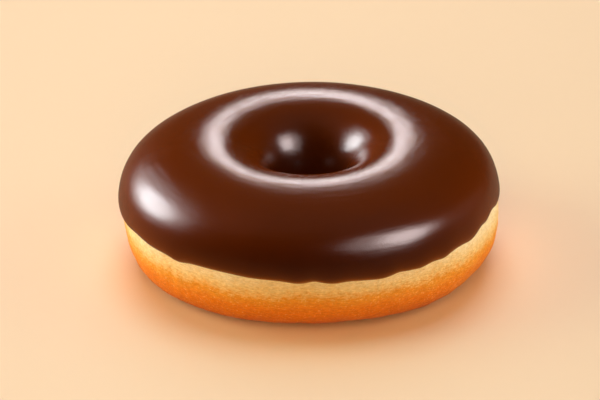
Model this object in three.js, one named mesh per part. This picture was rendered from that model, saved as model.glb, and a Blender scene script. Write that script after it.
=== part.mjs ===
// A ring doughnut with a chocolate glaze, in millimetres, +Z up. It stands on Z = 0 and its hole runs
// along Z.
//
// Both pieces are closed profiles carried round the hole. The dough is a soft, squared oval with a flat
// base. The glaze is a shell over its upper half: its outside is a slightly larger oval, and its inside
// follows the dough at a constant gap, from a wavy hem just above the widest line to a second hem inside
// the hole.
import * as THREE from "three";
import { ParametricGeometry } from "three/addons/geometries/ParametricGeometry.js";

// Driving dimensions. Radii are from the hole's axis and heights are from the base.
const GLAZED_RADIUS = 47.5;
const GLAZED_HOLE_RADIUS = 8.6;
const GLAZED_HEIGHT = 33.2;
const CREST_RADIUS = 24.5; // the highest circle, which is also the middle of the flat base
const DOUGH_RADIUS = 46.8;
const GLAZE_THICKNESS = 1.6; // over the crest and in the hole, counting the gap to the dough
const GAP = 0.3; // between the dough and the inside of the glaze
const BASE_TRIM = 0.25; // how much of the dough's lowest curve is pressed flat where it rests

// The ring isn't quite round: it is wider from left to right, and it rises towards the back.
const PLAN_OVALITY = 0.0035;
const BACK_RISE = 0.6;

// Each oval has its widest height, and how far each of its four corners swells past a plain ellipse.
const GLAZE_OVAL = {
  outer: GLAZED_RADIUS,
  inner: GLAZED_HOLE_RADIUS,
  top: GLAZED_HEIGHT,
  bottom: -0.8,
  waist: 16.4,
  fullness: { outerTop: 0.147, innerTop: -0.01, innerBase: 0.03, outerBase: 0.2 },
};
const DOUGH_OVAL = {
  outer: DOUGH_RADIUS,
  inner: GLAZED_HOLE_RADIUS + GLAZE_THICKNESS,
  top: GLAZED_HEIGHT - GLAZE_THICKNESS,
  bottom: -BASE_TRIM,
  waist: 14,
  fullness: { outerTop: 0.147, innerTop: -0.01, innerBase: 0.03, outerBase: 0.2 },
};

// The glaze ends at a hem on the outside and at another inside the hole. The outer hem wanders up and down.
const OUTER_HEM_HEIGHT = 17.75;
const OUTER_HEM_WAVES = [
  { lobes: 1, rise: 0.65, at: 46 },
  { lobes: 2, rise: 0.2, at: -39 },
  { lobes: 3, rise: 0.35, at: 0 },
  { lobes: 4, rise: 0.35, at: -26 },
];
const INNER_HEM_HEIGHT = 13;
const INNER_HEM_WAVES = [{ lobes: 2, rise: 0.8, at: 50 }];

// Mesh steps
const STEPS_AROUND = 60;
const DOUGH_STEPS = 32;
const GLAZE_OUTSIDE_STEPS = 24;
const GLAZE_INSIDE_STEPS = 20;

const FULL_TURN = 2 * Math.PI;

/** How far the oval swells past an ellipse at a corner angle: the four corners' values, blended smoothly. */
function fullnessAt({ outerTop, innerTop, innerBase, outerBase }, cosine, sine) {
  const outward = 1 + Math.SQRT2 * cosine;
  const inward = 1 - Math.SQRT2 * cosine;
  const up = 1 + Math.SQRT2 * sine;
  const down = 1 - Math.SQRT2 * sine;
  return (
    (outerTop * outward * up +
      innerTop * inward * up +
      innerBase * inward * down +
      outerBase * outward * down) /
    4
  );
}

/**
 * A point on an oval, as radius and height. The angle is 0 at the outermost point, a quarter turn at the
 * crest, half a turn at the hole's narrowest point and three quarters under the base.
 */
function ovalPoint(oval, angle) {
  const cosine = Math.cos(angle);
  const sine = Math.sin(angle);
  const fullness = fullnessAt(oval.fullness, cosine, sine);
  const halfWidth =
    (oval.outer - oval.inner) / 2 + ((oval.outer + oval.inner) / 2 - CREST_RADIUS) * cosine;
  const halfHeight =
    (oval.top - oval.bottom) / 2 + ((oval.top + oval.bottom) / 2 - oval.waist) * sine;
  return new THREE.Vector2(
    CREST_RADIUS + halfWidth * cosine * (1 + fullness * sine * sine),
    oval.waist + halfHeight * sine * (1 + fullness * cosine * cosine),
  );
}

/** The point a given distance outside an oval, square to its outline. */
function offsetPoint(oval, angle, distance) {
  const step = 1e-4;
  const along = ovalPoint(oval, angle + step).sub(ovalPoint(oval, angle - step)).normalize();
  return ovalPoint(oval, angle).add(new THREE.Vector2(along.y, -along.x).multiplyScalar(distance));
}

/** The angle between two others at which an oval passes a height. Its height rises or falls all the way. */
function angleAtHeight(oval, height, low, high) {
  const rising = ovalPoint(oval, high).y > ovalPoint(oval, low).y;
  for (let halving = 0; halving < 40; halving++) {
    const middle = (low + high) / 2;
    if (ovalPoint(oval, middle).y < height === rising) low = middle;
    else high = middle;
  }
  return (low + high) / 2;
}

/** A hem's height at a turn round the ring: its mean height and a few long waves. */
function hemHeight(meanHeight, waves, turn) {
  return waves.reduce(
    (height, { lobes, rise, at }) =>
      height + rise * Math.cos(lobes * (turn - THREE.MathUtils.degToRad(at))),
    meanHeight,
  );
}

/** Where the glaze's two hems meet an oval, as angles on it. */
function hemAngles(oval, turn) {
  const outerHeight = hemHeight(OUTER_HEM_HEIGHT, OUTER_HEM_WAVES, turn);
  const innerHeight = hemHeight(INNER_HEM_HEIGHT, INNER_HEM_WAVES, turn);
  return {
    outer: angleAtHeight(oval, outerHeight, 0, Math.PI / 2),
    inner: angleAtHeight(oval, innerHeight, Math.PI / 2, 1.25 * Math.PI),
  };
}

/** Carries a profile point round the ring, with the ring's slight ovality and its rise towards the back. */
function placeOnRing(point, turn, target) {
  const radius = point.x * (1 + PLAN_OVALITY * Math.cos(2 * turn));
  const height = Math.max(0, point.y) * (1 + (BACK_RISE / GLAZED_HEIGHT) * Math.sin(turn));
  target.set(radius * Math.cos(turn), radius * Math.sin(turn), height);
}

/** The dough: one closed oval all round, flat where it falls below the surface that it rests on. */
function doughGeometry() {
  const surface = (around, along, target) =>
    placeOnRing(ovalPoint(DOUGH_OVAL, FULL_TURN * along), FULL_TURN * around, target);
  return new ParametricGeometry(surface, STEPS_AROUND, DOUGH_STEPS);
}

/** The glaze: over the outside from hem to hem, and back along the inside, a gap away from the dough. */
function glazeGeometry() {
  const steps = GLAZE_OUTSIDE_STEPS + GLAZE_INSIDE_STEPS + 2;
  const surface = (around, along, target) => {
    const turn = FULL_TURN * around;
    const step = Math.round(along * steps) % steps;
    if (step <= GLAZE_OUTSIDE_STEPS) {
      const hems = hemAngles(GLAZE_OVAL, turn);
      const angle = THREE.MathUtils.lerp(hems.outer, hems.inner, step / GLAZE_OUTSIDE_STEPS);
      placeOnRing(ovalPoint(GLAZE_OVAL, angle), turn, target);
    } else {
      const hems = hemAngles(DOUGH_OVAL, turn);
      const share = (step - GLAZE_OUTSIDE_STEPS - 1) / GLAZE_INSIDE_STEPS;
      const angle = THREE.MathUtils.lerp(hems.inner, hems.outer, share);
      placeOnRing(offsetPoint(DOUGH_OVAL, angle, GAP), turn, target);
    }
  };
  return new ParametricGeometry(surface, STEPS_AROUND, steps);
}

function namedMesh(name, geometry, material) {
  const mesh = new THREE.Mesh(geometry, material);
  mesh.name = name;
  return mesh;
}

const friedDough = new THREE.MeshStandardMaterial({ color: 0xd98a3c, roughness: 0.7, metalness: 0 });
const chocolate = new THREE.MeshStandardMaterial({ color: 0x4a2110, roughness: 0.25, metalness: 0 });

const doughnut = new THREE.Group();
doughnut.add(
  namedMesh("dough_ring", doughGeometry(), friedDough),
  namedMesh("chocolate_glaze", glazeGeometry(), chocolate),
);

export default doughnut;
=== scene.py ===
import math

import bpy
import numpy as np
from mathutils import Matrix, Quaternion, Vector


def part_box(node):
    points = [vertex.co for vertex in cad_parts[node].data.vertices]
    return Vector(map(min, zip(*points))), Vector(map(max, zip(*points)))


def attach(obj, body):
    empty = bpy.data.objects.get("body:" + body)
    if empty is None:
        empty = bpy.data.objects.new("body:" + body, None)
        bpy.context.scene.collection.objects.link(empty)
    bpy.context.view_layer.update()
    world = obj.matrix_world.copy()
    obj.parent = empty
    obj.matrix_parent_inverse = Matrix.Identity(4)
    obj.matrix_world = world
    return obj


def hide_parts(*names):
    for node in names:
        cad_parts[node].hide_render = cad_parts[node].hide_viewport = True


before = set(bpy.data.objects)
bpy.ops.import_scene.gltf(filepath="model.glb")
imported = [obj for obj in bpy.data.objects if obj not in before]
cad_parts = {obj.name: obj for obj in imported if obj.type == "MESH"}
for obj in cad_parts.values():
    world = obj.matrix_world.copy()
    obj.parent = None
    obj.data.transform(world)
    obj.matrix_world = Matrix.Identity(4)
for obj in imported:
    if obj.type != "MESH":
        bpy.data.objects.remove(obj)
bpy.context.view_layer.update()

MM = 0.001
dough_low, dough_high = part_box("dough_ring")
glaze_low, glaze_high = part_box("chocolate_glaze")

# ---------------------------------------------------------------- the ring's driving sizes

PLAN_OVALITY = 0.0035  # wider from left to right than from front to back
BACK_RISE = 0.6 * MM  # the back of the ring stands this much higher than its middle
DOUGH_RADIUS = (dough_high.x - dough_low.x) / 2 / (1 + PLAN_OVALITY)
DOUGH_TOP = dough_high.z - BACK_RISE
GLAZED_TOP = glaze_high.z - BACK_RISE
GLAZED_RADIUS = DOUGH_RADIUS + 0.66 * MM
HOLE_RADIUS = 8.65 * MM  # of the glazed hole at its narrowest
CREST_RADIUS = 24.5 * MM
CREST_WANDER = ((0, 1.1, 0), (1, 0.6, 136), (2, 0.4, 90))  # of the glaze's crest: lobes, mm outwards, degrees
BASE_TRIM = 0.25 * MM  # how much of the lowest curve is pressed flat on the floor
GLAZE_SHIFT = -0.12 * MM  # the glaze sits a little to the left, where it is thicker
DOUGH_SHIFT = 0.4 * MM  # and the dough a little to the right

# Corner fullness: how far an oval swells past an ellipse at its outer top, inner top, inner base and outer
# base. Three of the corners vary round the ring, as lobes, fullness and degrees.
CORNERS = (0.147, 0.02, 0.0, 0.2)
SHOULDER_VARIES = ((1, -0.05, 150),)
LIP_VARIES = ((1, 0.085, 112),)
BASE_VARIES = ((1, 0.03, 200), (2, -0.04, 270), (4, -0.04, 270))
GLAZE_OVAL = {
    "outer": GLAZED_RADIUS,
    "inner": HOLE_RADIUS,
    "top": GLAZED_TOP - 0.05 * MM,
    "bottom": -0.8 * MM,
    "waist": 16.4 * MM,
}
DOUGH_OVAL = {
    "outer": DOUGH_RADIUS - 0.1 * MM,
    "inner": HOLE_RADIUS + 1.5 * MM,
    "top": DOUGH_TOP + 0.1 * MM,
    "bottom": -BASE_TRIM,
    "waist": 14 * MM,
}

# The hem: a mean height with long waves, and short rises and drips as (degrees round, rise, width in
# degrees)
HEM_HEIGHT = 17.75 * MM
HEM_WAVES = ((1, 0.65, 46), (2, 0.2, -39), (3, 0.35, 0), (4, 0.35, -26))
HEM_BUMPS = (
    (208, 0.55, 6), (228, -0.60, 3.5), (252, -0.15, 5), (265.5, -0.30, 3), (270.5, 0.40, 2.2),
    (276, -0.20, 2.5), (281, 0.15, 3), (290, -0.30, 3.5), (295.5, 0.30, 2.2), (303, -0.35, 3),
    (311.5, -0.50, 3), (324, -0.50, 3.5), (331, 0.45, 2.5), (340, 1.00, 5), (359, -0.40, 7),
    (20, -0.50, 4), (48, 0.40, 5), (75, -0.60, 3.5), (98, 0.30, 5), (120, -0.70, 4),
    (143, 0.40, 4), (165, -0.50, 5), (184, 0.30, 4),
)
HOLE_HEM_HEIGHT = 13.2 * MM
HOLE_HEM_WAVES = ((2, 0.8, 50), (5, 0.5, 10), (9, 0.25, 0))
HEM_ROLL = 2.0 * MM  # how far up the glaze's rounded edge reaches
HOLE_HEM_ROLL = 1.2 * MM
HEM_BAND = 1.6 * MM  # thinner coat, painted lighter brown as bounce light, over about this height above its hem
EDGE_SINK = 0.12 * MM  # how far the glaze's edge reaches into the dough
UNDER_SINK = 0.25 * MM  # how far its hidden side runs below the dough's surface

TURN = 2 * math.pi
HALF_TURN = math.pi
QUARTER_TURN = math.pi / 2


# ---------------------------------------------------------------- the camera, first of all

CAMERA_ELEVATION = 26.0
CAMERA_DISTANCE = 500 * MM
CAMERA_LENS = 120.0
CAMERA_ROLL = -0.6
NEAREST_SEEN = 10 * MM
LOOK_AT = Vector((-2.4, 0.0, 15.5)) * MM

tilt = math.radians(CAMERA_ELEVATION)
away = Vector((0, -math.cos(tilt), math.sin(tilt)))
camera = bpy.data.objects.new("camera", bpy.data.cameras.new("camera"))
bpy.context.scene.collection.objects.link(camera)
camera.data.lens = CAMERA_LENS
camera.data.clip_start = NEAREST_SEEN
camera.location = LOOK_AT + away * CAMERA_DISTANCE
roll = Quaternion((0, 0, 1), math.radians(CAMERA_ROLL))
camera.rotation_euler = ((-away).to_track_quat("-Z", "Y") @ roll).to_euler()
bpy.context.scene.camera = camera
bpy.context.scene.view_settings.view_transform = "Standard"


# ---------------------------------------------------------------- shapes as arrays

ANGLE_TABLE = 2000  # entries, when an oval's height is read back as an angle
NO_LENGTH = 1e-12  # a normal shorter than this is left alone


def oval_point(angle, outer, inner, top, bottom, waist, crest=CREST_RADIUS, corners=CORNERS):
    """Radius and height on a soft, squared oval. The angle is 0 outermost, a quarter turn at the crest and
    half a turn at the hole. Radius is the crest's plus half the width times the cosine, and height is the
    waist's plus half the height times the sine. Each is swelled by the corner's fullness times the other's
    square."""
    c, s = np.cos(angle), np.sin(angle)
    outward, inward = 1 + math.sqrt(2) * c, 1 - math.sqrt(2) * c
    up, down = 1 + math.sqrt(2) * s, 1 - math.sqrt(2) * s
    swell = (corners[0] * outward * up + corners[1] * inward * up
             + corners[2] * inward * down + corners[3] * outward * down) / 4
    half_width = (outer - inner) / 2 + ((outer + inner) / 2 - crest) * c
    half_height = (top - bottom) / 2 + ((top + bottom) / 2 - waist) * s
    return (crest + half_width * c * (1 + swell * s * s),
            waist + half_height * s * (1 + swell * c * c))


def angle_at_height(height, oval, start, end):
    """The angle at which an oval passes each height, read back from a fine table of its rising or falling
    side."""
    angles = np.linspace(start, end, ANGLE_TABLE)
    heights = oval_point(angles, **oval)[1]
    order = np.argsort(heights)
    return np.interp(height, heights[order], angles[order])


def on_ring(radius, height, turn, shift=0.0):
    """Points of a profile carried round the ring. Radius grows by the ovality times the cosine of twice the
    turn, and height grows in proportion to itself, by the back's rise times the sine of the turn."""
    wide = radius * (1 + PLAN_OVALITY * np.cos(2 * turn))
    high = np.maximum(height, 0) * (1 + BACK_RISE / GLAZED_TOP * np.sin(turn))
    return np.stack(np.broadcast_arrays(wide * np.cos(turn) + shift, wide * np.sin(turn), high), -1)


def lobed(turn, mean, waves, unit=MM):
    """A value that varies round the ring: its mean, plus cosines of a few whole numbers of lobes."""
    return mean + sum(
        size * unit * np.cos(lobes * (turn - math.radians(at))) for lobes, size, at in waves)


def bell(turn, at, width):
    """A bell-shaped bump round one place on the ring: e to the minus square of the degrees away over the
    width."""
    offset = np.degrees(np.angle(np.exp(1j * (turn - math.radians(at)))))
    return np.exp(-((offset / width) ** 2))


def hem_height(turn, mean, waves, bumps=()):
    """Height of a hem: its mean and long waves, plus bell-shaped rises and drips."""
    short = sum(size * MM * bell(turn, at, width) for at, size, width in bumps)
    return lobed(turn, mean, waves) + short


def corners_at(turn):
    """The four corners' fullness at each turn."""
    outer_top, inner_top, inner_base, outer_base = CORNERS
    return (
        lobed(turn, outer_top, SHOULDER_VARIES, 1),
        lobed(turn, inner_top, LIP_VARIES, 1),
        inner_base,
        lobed(turn, outer_base, BASE_VARIES, 1),
    )


def ripple_field(points, wavelength, count, seed):
    """A smooth random field about 1 high: many plane waves of about one wavelength, each with a random
    direction, stretch and phase, added up and divided by the square root of half their number."""
    draw = np.random.default_rng(seed)
    directions = draw.normal(size=(count, 3))
    directions /= np.linalg.norm(directions, axis=1, keepdims=True)
    stretch = draw.uniform(0.75, 1.3, count)
    phases = draw.uniform(0, TURN, count)
    total = np.zeros(points.shape[:-1])
    for direction, scale, phase in zip(directions, stretch, phases):
        total += np.cos(points @ (direction * TURN / wavelength * scale) + phase)
    return total / math.sqrt(count / 2)


def rippled(points, ripples):
    """Ripple fields added up, in millimetres. Each is a height, a wavelength in mm, a count of waves and a
    seed."""
    return sum(height * ripple_field(points, wavelength * MM, count, seed)
               for height, wavelength, count, seed in ripples)


def normals_of(points):
    """Outward unit normals of a grid that closes both ways: the cross product of its two central steps."""
    along = np.roll(points, -1, 1) - np.roll(points, 1, 1)
    around = np.roll(points, -1, 0) - np.roll(points, 1, 0)
    square = np.cross(around, along)
    return square / np.maximum(np.linalg.norm(square, axis=-1, keepdims=True), NO_LENGTH)


def ring_mesh(name, points, **attributes):
    """A closed ring from a grid of points [round, along]: each cell is one quad, and both edges join up.
    Each attribute is a number at each point."""
    rounds, alongs = points.shape[:2]
    index = np.arange(rounds * alongs).reshape(rounds, alongs)
    beside, beyond = np.roll(index, -1, 0), np.roll(index, -1, 1)
    across = np.roll(beside, -1, 1)
    faces = np.stack([index, beside, across, beyond], -1).reshape(-1, 4)
    mesh = bpy.data.meshes.new(name)
    mesh.vertices.add(len(index.ravel()))
    mesh.vertices.foreach_set("co", points.astype(np.float32).ravel())
    mesh.loops.add(faces.size)
    mesh.loops.foreach_set("vertex_index", faces.astype(np.int32).ravel())
    mesh.polygons.add(len(faces))
    mesh.polygons.foreach_set("loop_start", np.arange(0, faces.size, 4, dtype=np.int32))
    mesh.polygons.foreach_set("use_smooth", np.ones(len(faces), bool))
    mesh.update(calc_edges=True)
    for title, values in attributes.items():
        layer = mesh.attributes.new(title, "FLOAT", "POINT")
        layer.data.foreach_set("value", values.astype(np.float32).ravel())
    mesh.validate()
    piece = bpy.data.objects.new(name, mesh)
    bpy.context.scene.collection.objects.link(piece)
    return piece


# ---------------------------------------------------------------- the dough

DOUGH_ROUNDS = 560
DOUGH_VISIBLE = 110  # grid steps up the outside, from the base to just under the glaze
DOUGH_HIDDEN = 36  # over the top, under the glaze
DOUGH_HOLE = 24  # down the hole's wall and back to the base
DOUGH_COVERED = math.radians(24)  # the oval's angle at which the glaze has covered the dough everywhere
DOUGH_RIPPLES = ((0.12, 22, 24, 3), (0.045, 6, 40, 4), (0.022, 2.4, 60, 5))
DOUGH_SETTLES = 0.1 * MM  # taken off all over, to make room for the ripples


def dough_points():
    """The dough's grid: its oval all round, close-set where it shows and coarse under the glaze, with broad
    swells and a fine uneven crust added along its normals, and nothing below the floor."""
    turn = np.linspace(0, TURN, DOUGH_ROUNDS, endpoint=False)[:, None]
    angle = np.concatenate([
        np.linspace(-QUARTER_TURN, DOUGH_COVERED, DOUGH_VISIBLE, endpoint=False),
        np.linspace(DOUGH_COVERED, HALF_TURN, DOUGH_HIDDEN, endpoint=False),
        np.linspace(HALF_TURN, HALF_TURN + QUARTER_TURN, DOUGH_HOLE, endpoint=False),
    ])[None, :]
    radius, height = oval_point(angle, **DOUGH_OVAL, corners=corners_at(turn))
    points = on_ring(radius, height, turn, DOUGH_SHIFT)
    crust = rippled(points, DOUGH_RIPPLES) * MM
    lifted = points + normals_of(points) * (crust - DOUGH_SETTLES)[..., None]
    lifted[..., 2] = np.maximum(lifted[..., 2], 0)
    lifted[..., 2][points[..., 2] <= 0] = 0
    return lifted


# ---------------------------------------------------------------- the glaze

GLAZE_ROUNDS = 420
GLAZE_ROLL = 12  # grid steps over each rounded edge
GLAZE_MAIN = 186  # from edge to edge over the crest
GLAZE_UNDER = 26  # back under the coat
HOLE_SIDE = 1.25 * math.pi  # the oval's angle at the lowest point that is looked for inside the hole
GLAZE_RIPPLES = ((0.012, 26, 20, 11), (0.005, 7, 30, 12))
GLAZE_SETTLES = 0.06 * MM  # taken off, to make room for the ripples
FAR_ABOVE = 20 * MM  # counted as height above the hem inside the crest, so that the coat stays dark there

# Fine rings on the near lip of the hole: height in mm, spacing, radius, width, then degrees round and spread
LIP_RINGS = (0.012, 1.5 * MM, 16 * MM, 3.5 * MM, -90, 50)
# Upright wrinkles on the right of the hole's wall: height in mm, spacing in degrees, middle height, width,
# the radius they stay inside, then degrees round and spread
WALL_WRINKLES = (0.04, 8.5, 22 * MM, 4 * MM, 14 * MM, 4, 15)


def rolled_edge(turn, edge, roll, lean, start, end, shape):
    """A rounded edge of the coat. It leaves the dough at the edge's height and reaches the glaze's oval a
    roll further up: the sine of the lean is its share of the way out, and one minus the cosine its share of
    the roll."""
    height = edge + roll * (1 - np.cos(lean))
    outside = oval_point(angle_at_height(height, GLAZE_OVAL, start, end), **GLAZE_OVAL, **shape)
    inside = oval_point(angle_at_height(height, DOUGH_OVAL, start, end), **DOUGH_OVAL,
                        corners=shape["corners"])
    sunk = inside[0] + np.sign(inside[0] - CREST_RADIUS) * -EDGE_SINK
    outer_points = on_ring(*outside, turn, GLAZE_SHIFT)
    inner_points = on_ring(sunk, inside[1], turn, DOUGH_SHIFT)
    return inner_points + (outer_points - inner_points) * np.sin(lean)[..., None]


def glaze_profiles(turn, hem, hole_hem):
    """The glaze's grid, as one closed profile at each turn. It starts on the dough at the outer hem and
    rolls out to the glaze's oval as a quarter ellipse. It follows the oval over the crest and into the
    hole, rolls in to the dough at the hole's hem, and comes back inside the dough's surface."""
    shape = {"crest": lobed(turn, CREST_RADIUS, CREST_WANDER), "corners": corners_at(turn)}
    lean = np.linspace(0, QUARTER_TURN, GLAZE_ROLL, endpoint=False)[None, :]
    lean_back = lean[:, ::-1] + QUARTER_TURN / GLAZE_ROLL
    outer_roll = rolled_edge(turn, hem, HEM_ROLL, lean, 0, QUARTER_TURN, shape)
    inner_roll = rolled_edge(turn, hole_hem, HOLE_HEM_ROLL, lean_back, QUARTER_TURN, HOLE_SIDE, shape)
    first = angle_at_height(hem + HEM_ROLL, GLAZE_OVAL, 0, QUARTER_TURN)
    last = angle_at_height(hole_hem + HOLE_HEM_ROLL, GLAZE_OVAL, QUARTER_TURN, HOLE_SIDE)
    share = np.linspace(0, 1, GLAZE_MAIN)[None, :]
    main = on_ring(*oval_point(first + (last - first) * share, **GLAZE_OVAL, **shape), turn, GLAZE_SHIFT)
    under_first = angle_at_height(hole_hem, DOUGH_OVAL, QUARTER_TURN, HOLE_SIDE)
    under_last = angle_at_height(hem, DOUGH_OVAL, 0, QUARTER_TURN)
    back = np.linspace(0, 1, GLAZE_UNDER + 2)[None, 1:-1]
    radius, height = oval_point(under_first + (under_last - under_first) * back, **DOUGH_OVAL,
                                corners=shape["corners"])
    shrink = 1 - UNDER_SINK / (DOUGH_TOP / 2)
    under = on_ring(CREST_RADIUS + (radius - CREST_RADIUS) * shrink,
                    DOUGH_OVAL["waist"] + (height - DOUGH_OVAL["waist"]) * shrink, turn, DOUGH_SHIFT)
    return np.concatenate([outer_roll, main, inner_roll, under], 1)


def glaze_flow(points, turn, from_axis):
    """How far the set coat stands out, in millimetres: broad ripples, cosine rings on the near lip of the
    hole, and cosine wrinkles on its wall, each faded by bells in place."""
    flow = rippled(points, GLAZE_RIPPLES)
    height, spacing, middle, width, at, spread = LIP_RINGS
    lip = np.exp(-(((from_axis - middle) / width) ** 2))
    flow += height * np.cos(TURN * from_axis / spacing) * lip * bell(turn, at, spread)
    height, spacing, middle, width, reach, at, spread = WALL_WRINKLES
    wall = np.exp(-(((points[..., 2] - middle) / width) ** 2)) * (from_axis < reach)
    flow += height * np.cos(np.degrees(turn) * TURN / spacing) * wall * bell(turn, at, spread)
    return flow


def glaze_points():
    """The glaze's grid, with its flow added along the normals where it shows, and how thin it is at each
    point, which also sets its painted bounce light: 1 at the outer hem, falling away as e to the minus
    height above it."""
    turn = np.linspace(0, TURN, GLAZE_ROUNDS, endpoint=False)[:, None]
    hem = hem_height(turn, HEM_HEIGHT, HEM_WAVES, HEM_BUMPS)
    hole_hem = hem_height(turn, HOLE_HEM_HEIGHT, HOLE_HEM_WAVES)
    points = glaze_profiles(turn, hem, hole_hem)
    shown = np.ones(points.shape[1])
    shown[-GLAZE_UNDER:] = 0
    shown[:GLAZE_ROLL] = np.linspace(0, 1, GLAZE_ROLL)
    from_axis = np.hypot(points[..., 0], points[..., 1])
    raised = (glaze_flow(points, turn, from_axis) * MM - GLAZE_SETTLES) * shown
    above_hem = np.maximum(points[..., 2] - hem, 0) + FAR_ABOVE * (from_axis < CREST_RADIUS)
    return points + normals_of(points) * raised[..., None], np.exp(-above_hem / HEM_BAND)


# ---------------------------------------------------------------- materials

class Wire:
    """A number, colour or vector on its way through a node tree. Arithmetic on wires adds Math nodes."""

    def __init__(self, tree, socket):
        self.tree = tree
        self.socket = socket

    def math(self, operation, first, second):
        node = self.tree.nodes.new("ShaderNodeMath")
        node.operation = operation
        for slot, value in zip(node.inputs, (first, second)):
            if isinstance(value, Wire):
                self.tree.links.new(value.socket, slot)
            else:
                slot.default_value = value
        return Wire(self.tree, node.outputs[0])

    def __add__(self, other):
        return self.math("ADD", self, other)

    def __radd__(self, other):
        return self.math("ADD", other, self)

    def __sub__(self, other):
        return self.math("SUBTRACT", self, other)

    def __rsub__(self, other):
        return self.math("SUBTRACT", other, self)

    def __mul__(self, other):
        return self.math("MULTIPLY", self, other)

    def __rmul__(self, other):
        return self.math("MULTIPLY", other, self)

    def __truediv__(self, other):
        return self.math("DIVIDE", self, other)

    def __pow__(self, other):
        return self.math("POWER", self, other)


class Nodes:
    """A node tree being filled in, for a material or for the world."""

    def __init__(self, tree):
        self.tree = tree

    def node(self, kind, settings, sockets, output=0):
        """Any node: its type, its settings, its sockets' values or links, and which output to read."""
        node = self.tree.nodes.new(kind)
        for setting, value in settings.items():
            if setting == "stops":
                ramp = node.color_ramp
                while len(ramp.elements) < len(value):
                    ramp.elements.new(0.5)
                for element, (position, colour) in zip(ramp.elements, value):
                    element.position = position
                    element.color = (*colour, 1)
            else:
                setattr(node, setting, value)
        for socket, value in sockets.items():
            if isinstance(value, Wire):
                self.tree.links.new(value.socket, node.inputs[socket])
            else:
                node.inputs[socket].default_value = value
        return Wire(self.tree, node.outputs[output])

    def place(self):
        """The point on the object, in metres."""
        return self.node("ShaderNodeTexCoord", {}, {}, "Object")

    def axis(self, place, axis):
        """One coordinate of a point."""
        return self.node("ShaderNodeSeparateXYZ", {}, {"Vector": place}, axis)

    def ramp(self, value, low, high):
        """0 below low, 1 above high and a straight line between."""
        return self.node("ShaderNodeMapRange", {}, {"Value": value, "From Min": low, "From Max": high})

    def smooth(self, value, low, high):
        """0 below low, 1 above high and a smooth step between."""
        return self.node("ShaderNodeMapRange", {"interpolation_type": "SMOOTHSTEP"},
                         {"Value": value, "From Min": low, "From Max": high})

    def noise(self, place, size, detail=2.0, roughness=0.5, stretch=(1, 1, 1)):
        """Noise about 0.5, with features about size metres across, stretched along the axes."""
        scaled = self.node("ShaderNodeMapping", {}, {"Vector": place, "Scale": stretch})
        return self.node("ShaderNodeTexNoise", {}, {
            "Vector": scaled, "Scale": 1 / size, "Detail": detail, "Roughness": roughness}, "Fac")

    def ring_noise(self, place, size, circle, detail=2.0, roughness=0.5):
        """Noise drawn out along the ring, with no seam. It is read at the direction from the hole on a
        circle of the given radius, and at the distance from the hole and the height. A smaller circle draws
        it out more."""
        x, y = self.axis(place, "X"), self.axis(place, "Y")
        radius = (x * x + y * y) ** 0.5
        spot = self.node("ShaderNodeCombineXYZ", {}, {
            "X": x / radius * circle, "Y": y / radius * circle, "Z": radius})
        return self.node("ShaderNodeTexNoise", {"noise_dimensions": "4D"}, {
            "Vector": spot, "W": self.axis(place, "Z"), "Scale": 1 / size, "Detail": detail,
            "Roughness": roughness}, "Fac")

    def blend(self, factor, first, second):
        """Two colours mixed by a number."""
        first, second = ((*c, 1) if isinstance(c, tuple) else c for c in (first, second))
        return self.node("ShaderNodeMix", {"data_type": "RGBA"}, {0: factor, 6: first, 7: second}, 2)

    def scale(self, colour, factor):
        """A colour made brighter or darker by a number."""
        return self.node("ShaderNodeVectorMath", {"operation": "SCALE"}, {0: colour, "Scale": factor})


class Finish(Nodes):
    """A material being made, around one Principled shader."""

    def __init__(self, name, **constants):
        self.material = bpy.data.materials.new(name)
        self.material.use_nodes = True
        super().__init__(self.material.node_tree)
        self.shader = self.tree.nodes["Principled BSDF"]
        for socket, value in constants.items():
            self.shader.inputs[socket.replace("_", " ")].default_value = value

    def bump(self, height, strength, distance, beneath=None):
        """A bump of a height from 0 to 1 over a distance, on top of another bump if there is one."""
        sockets = {"Height": height, "Strength": strength, "Distance": distance}
        if beneath:
            sockets["Normal"] = beneath
        return self.node("ShaderNodeBump", {}, sockets)

    def feed(self, **wires):
        """Links wires to the shader's sockets, and gives back the material."""
        for socket, wire in wires.items():
            self.tree.links.new(wire.socket, self.shader.inputs[socket.replace("_", " ")])
        return self.material


DEEP_CHOCOLATE, WARM_CHOCOLATE = (0.108, 0.0160, 0.0003), (0.132, 0.0200, 0.0005)
# Painted shade: a darker brown for the lower front of the coat.
SHADED_FRONT_CHOCOLATE = (0.068, 0.0095, 0.0002)
# Lighter browns for the hem, where the coat thins and painted bounce light from the floor and dough falls.
THIN_AND_BOUNCE_LIT_CHOCOLATE, SHEER_AND_BOUNCE_LIT_CHOCOLATE = (0.26, 0.060, 0.006), (0.50, 0.20, 0.035)
BROWNING = (  # of the dough, from the base upwards
    (0.00, (0.50, 0.085, 0.002)), (0.18, (0.72, 0.15, 0.002)), (0.45, (0.86, 0.22, 0.003)),
    (0.60, (0.88, 0.33, 0.020)), (0.72, (0.92, 0.58, 0.19)), (0.90, (0.95, 0.75, 0.40)))
BROWNING_HEIGHT = 20 * MM
PALE_SPECK = (0.98, 0.74, 0.32)
FLOOR_DARK, FLOOR_LIGHT = (0.84, 0.582, 0.402), (0.86, 0.602, 0.415)


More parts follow.
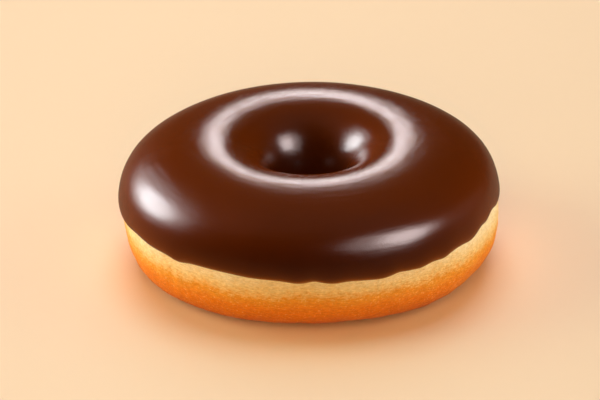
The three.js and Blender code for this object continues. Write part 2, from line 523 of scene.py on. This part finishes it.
def chocolate():
    """Set chocolate: deep brown with faint clouds, darker low on its front with painted shade, and a lighter
    brown at its hem, where the coat thins and painted bounce light from the floor and dough falls. Its
    reflections are broken up by a fine grain, a slight orange peel and lines along the way it flowed."""
    finish = Finish("set_chocolate", Specular_IOR_Level=0.5)
    place = finish.place()
    cloud = finish.noise(place, 14 * MM, 3)
    grain = finish.noise(place, 0.30 * MM, 2)
    peel = finish.noise(place, 1.7 * MM, 2)
    flow_lines = finish.ring_noise(place, 1.5 * MM, 5 * MM)
    thin_and_bounce_lit = finish.node("ShaderNodeAttribute", {"attribute_name": "thinness"}, {}, "Fac")
    # Painted shade: the coat is made darker low on its front.
    front = finish.smooth(finish.axis(place, "Y"), -18 * MM, -42 * MM)
    painted_front_shade = finish.smooth(finish.axis(place, "Z"), 29 * MM, 21 * MM) * front
    colour = finish.blend(cloud, DEEP_CHOCOLATE, WARM_CHOCOLATE)
    colour = finish.blend(painted_front_shade * 0.85, colour, SHADED_FRONT_CHOCOLATE)
    # Painted bounce light, with the thin coat: the coat is made lighter brown just above its hem.
    colour = finish.blend(thin_and_bounce_lit * 0.9, colour, THIN_AND_BOUNCE_LIT_CHOCOLATE)
    colour = finish.blend((thin_and_bounce_lit ** 4) * 0.5, colour, SHEER_AND_BOUNCE_LIT_CHOCOLATE)
    surface = finish.bump(flow_lines, 0.6, 0.08 * MM, finish.bump(peel, 0.25, 0.05 * MM))
    surface = finish.bump(grain, 0.6, 0.05 * MM, surface)
    return finish.feed(Base_Color=colour, Roughness=0.15 + 0.07 * grain + 0.03 * flow_lines, Normal=surface)


def fried_crust():
    """Fried dough: pale above, where it floated clear of the fat, through amber to orange brown at the
    base. The change is mottled at several sizes, with light specks, and with streaks and fine fibres along
    the ring."""
    finish = Finish("fried_crust", Specular_IOR_Level=0.2)
    place = finish.place()
    fibre = finish.ring_noise(place, 0.32 * MM, 14 * MM, 3, 0.6) - 0.5
    patch = finish.noise(place, 9 * MM, 2) - 0.5
    mottle = finish.noise(place, 1.2 * MM, 5, 0.7) - 0.5
    streak = finish.noise(place, 1.1 * MM, 3, 0.6, (0.5, 0.5, 2.2)) - 0.5
    crumb = finish.noise(place, 0.45 * MM, 2, 0.6)
    uneven = (patch * 3.0 + mottle * 4.5 + streak * 2.0 + fibre * 4.0) * MM
    browning = finish.ramp(finish.axis(place, "Z") + uneven, 0, BROWNING_HEIGHT)
    colour = finish.node("ShaderNodeValToRGB", {"stops": BROWNING}, {"Fac": browning}, "Color")
    speck = finish.smooth(crumb + mottle * 0.35, 0.58, 0.74) * 0.35
    colour = finish.blend(speck, colour, PALE_SPECK)
    colour = finish.scale(colour, 0.98 + fibre * 0.6 + (crumb - 0.5) * 0.2)
    surface = finish.bump(crumb * 0.5 + fibre * 0.7, 0.7, 0.3 * MM, finish.bump(mottle, 0.5, 0.6 * MM))
    return finish.feed(Base_Color=colour, Roughness=0.40 + 0.25 * crumb, Normal=surface)


def floor_paint():
    """Matt peach paint with a faint cloud and grain, and with painted light making it a little paler
    towards the back left.
    """
    finish = Finish("peach_floor", Roughness=0.8, Specular_IOR_Level=0.0)
    place = finish.place()
    tone = finish.noise(place, 60 * MM, 3) * 0.6 + finish.noise(place, 3 * MM, 3) * 0.4
    # Painted light: the floor is made paler towards the back left, as if lit from there.
    back_left = finish.axis(place, "Y") * 0.4 - finish.axis(place, "X")
    painted_light_falloff = finish.smooth(back_left, -150 * MM, 150 * MM)
    colour = finish.blend(tone, FLOOR_DARK, FLOOR_LIGHT)
    return finish.feed(Base_Color=finish.scale(colour, 0.945 + painted_light_falloff * 0.11))


# ---------------------------------------------------------------- the pieces

dough = ring_mesh("fried_dough", dough_points())
dough.data.materials.append(fried_crust())
coat, thinness = glaze_points()
glaze = ring_mesh("chocolate_coat", coat, thinness=thinness)
glaze.data.materials.append(chocolate())

for piece, node, slot in ((dough, "dough_ring", "fried_dough"), (glaze, "chocolate_glaze", "chocolate")):
    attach(piece, "root")
    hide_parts(node)


# ---------------------------------------------------------------- floor and lights

FLOOR_RADIUS = 6.0
FLOOR_CORNERS = 96


def floor_disc(radius):
    """A flat disc under the doughnut: points at even turns on a circle, as one face."""
    turn = np.linspace(0, TURN, FLOOR_CORNERS, endpoint=False)
    rim = np.stack([radius * np.cos(turn), radius * np.sin(turn), 0 * turn], 1)
    mesh = bpy.data.meshes.new("floor")
    mesh.from_pydata(rim.tolist(), [], [list(range(len(rim)))])
    disc = bpy.data.objects.new("floor", mesh)
    bpy.context.scene.collection.objects.link(disc)
    return disc


LIGHT_DISTANCE = 1.2
SKYLIGHT_SPREAD = math.radians(41)
WHITE, COOL, ROSE = (1, 1, 1), (0.95, 0.98, 1), (1, 0.90, 0.89)
WARM, AMBER = (1, 0.74, 0.42), (1, 0.72, 0.34)
SKY, STRAW = (0.69, 0.81, 0.97), (0.72, 0.90, 0.66)
HORIZON = (0.97, 0.70, 0.45)


def hang(name, light, azimuth, elevation, strength, colour, gloss, lit=()):
    """Hangs a light 1.2 m away, facing the doughnut. Azimuth 0 is to the right and 90 is behind it. A gloss
    light is seen only as a reflection. Any other only lights the surfaces' own colour, on the given
    objects."""
    a, e = math.radians(azimuth), math.radians(elevation)
    towards = Vector((math.cos(e) * math.cos(a), math.cos(e) * math.sin(a), math.sin(e)))
    light.energy = strength
    light.color = colour
    lamp = bpy.data.objects.new(name, light)
    lamp.location = Vector((0, 0, GLAZED_TOP)) + towards * LIGHT_DISTANCE
    lamp.rotation_euler = (-towards).to_track_quat("-Z", "Y").to_euler()
    lamp.visible_diffuse = not gloss
    lamp.visible_glossy = gloss
    if lit:
        lamp.light_linking.receiver_collection = bpy.data.collections.new("lit_by_" + name)
        for piece in lit:
            lamp.light_linking.receiver_collection.objects.link(piece)
    bpy.context.scene.collection.objects.link(lamp)


def softbox(name, azimuth, elevation, width, height, watts, colour, gloss, lit=()):
    """A soft light with a face of the given width and height in metres."""
    light = bpy.data.lights.new(name, "AREA")
    light.shape = "ELLIPSE" if gloss else "RECTANGLE"
    light.size, light.size_y = width, height
    hang(name, light, azimuth, elevation, watts, colour, gloss, lit)


def skylight(name, azimuth, elevation, strength, colour, lit):
    """A far, soft light that falls evenly on the whole floor."""
    light = bpy.data.lights.new(name, "SUN")
    light.angle = SKYLIGHT_SPREAD
    hang(name, light, azimuth, elevation, strength, colour, False, lit)


floor = floor_disc(FLOOR_RADIUS)
floor.data.materials.append(floor_paint())
floor.visible_glossy = False

# Boxes that show in the gloss: left, right, and a small one behind that draws the ring of light on the
# crest
for box in (
    ("left_box", 155, 23, 0.70, 0.60, 13.3, COOL),
    ("left_glow", 154, 24, 1.25, 1.05, 7.0, COOL),
    ("right_box", -32, 25.5, 0.64, 0.58, 9.6, ROSE),
    ("right_glow", -39, 29, 1.20, 0.85, 7.6, ROSE),
    ("back_box", 89, 26, 0.19, 0.21, 1.2, ROSE),
):
    softbox(*box, gloss=True)

# Fills for the doughnut's own colours, low at the sides and behind, and weak from above
for box in (
    ("left_low_fill", 165, 12, 0.9, 0.45, 14, WHITE),
    ("right_low_fill", 12, 12, 0.9, 0.45, 10.5, WHITE),
    ("left_high_fill", 180, 60, 0.9, 0.9, 3.4, WHITE),
    ("right_high_fill", 0, 60, 0.9, 0.9, 2.9, WHITE),
    ("back_high_fill", 90, 60, 0.9, 0.9, 2.4, WHITE),
    ("top_fill", 0, 88, 0.9, 0.9, 1.4, WHITE),
):
    softbox(*box, gloss=False, lit=(dough, glaze))
softbox("left_back_fill", 135, 12, 0.9, 0.45, 9, WHITE, gloss=False, lit=(glaze,))
softbox("dough_back_fill", 135, 12, 0.9, 0.45, 5, WHITE, gloss=False, lit=(dough,))
softbox("front_low_fill", -95, 25, 0.9, 0.45, 5.4, WARM, gloss=False, lit=(dough,))

# The floor is lit coolly from above and behind, and warmly from in front, where its soft shadow falls
for sky in (
    ("floor_front_fill", -90, 30, 2.35, AMBER),
    ("floor_left_fill", 180, 25, 1.55, STRAW),
    ("floor_right_fill", 0, 25, 0.65, STRAW),
    ("floor_back_fill", 90, 45, 1.05, SKY),
    ("floor_top_fill", 90, 80, 1.72, SKY),
):
    skylight(*sky, lit=(floor,))


def studio_world():
    """What reflections see beyond the lights: dark in front, dim peach below the horizon, paler low down
    behind. The camera itself sees the floor's colour."""
    world = bpy.data.worlds.new("studio")
    world.use_nodes = True
    studio = Nodes(world.node_tree)
    direction = studio.node("ShaderNodeTexCoord", {}, {}, "Generated")
    up = studio.axis(direction, "Z")
    low = studio.ramp(up, 0.02, -0.10)
    behind = studio.ramp(studio.axis(direction, "Y"), -0.2, 0.5)
    level = studio.ramp(up, 0.45, 0.0)
    strength = 0.002 + low * (0.05 + behind * 0.20) + (1 - low) * behind * level * 0.06
    peach = studio.scale(HORIZON, strength)
    seen = studio.node("ShaderNodeLightPath", {}, {}, "Is Camera Ray")
    shown = studio.blend(seen, peach, HORIZON)
    world.node_tree.links.new(shown.socket, world.node_tree.nodes["Background"].inputs["Color"])
    return world


bpy.context.scene.world = studio_world()
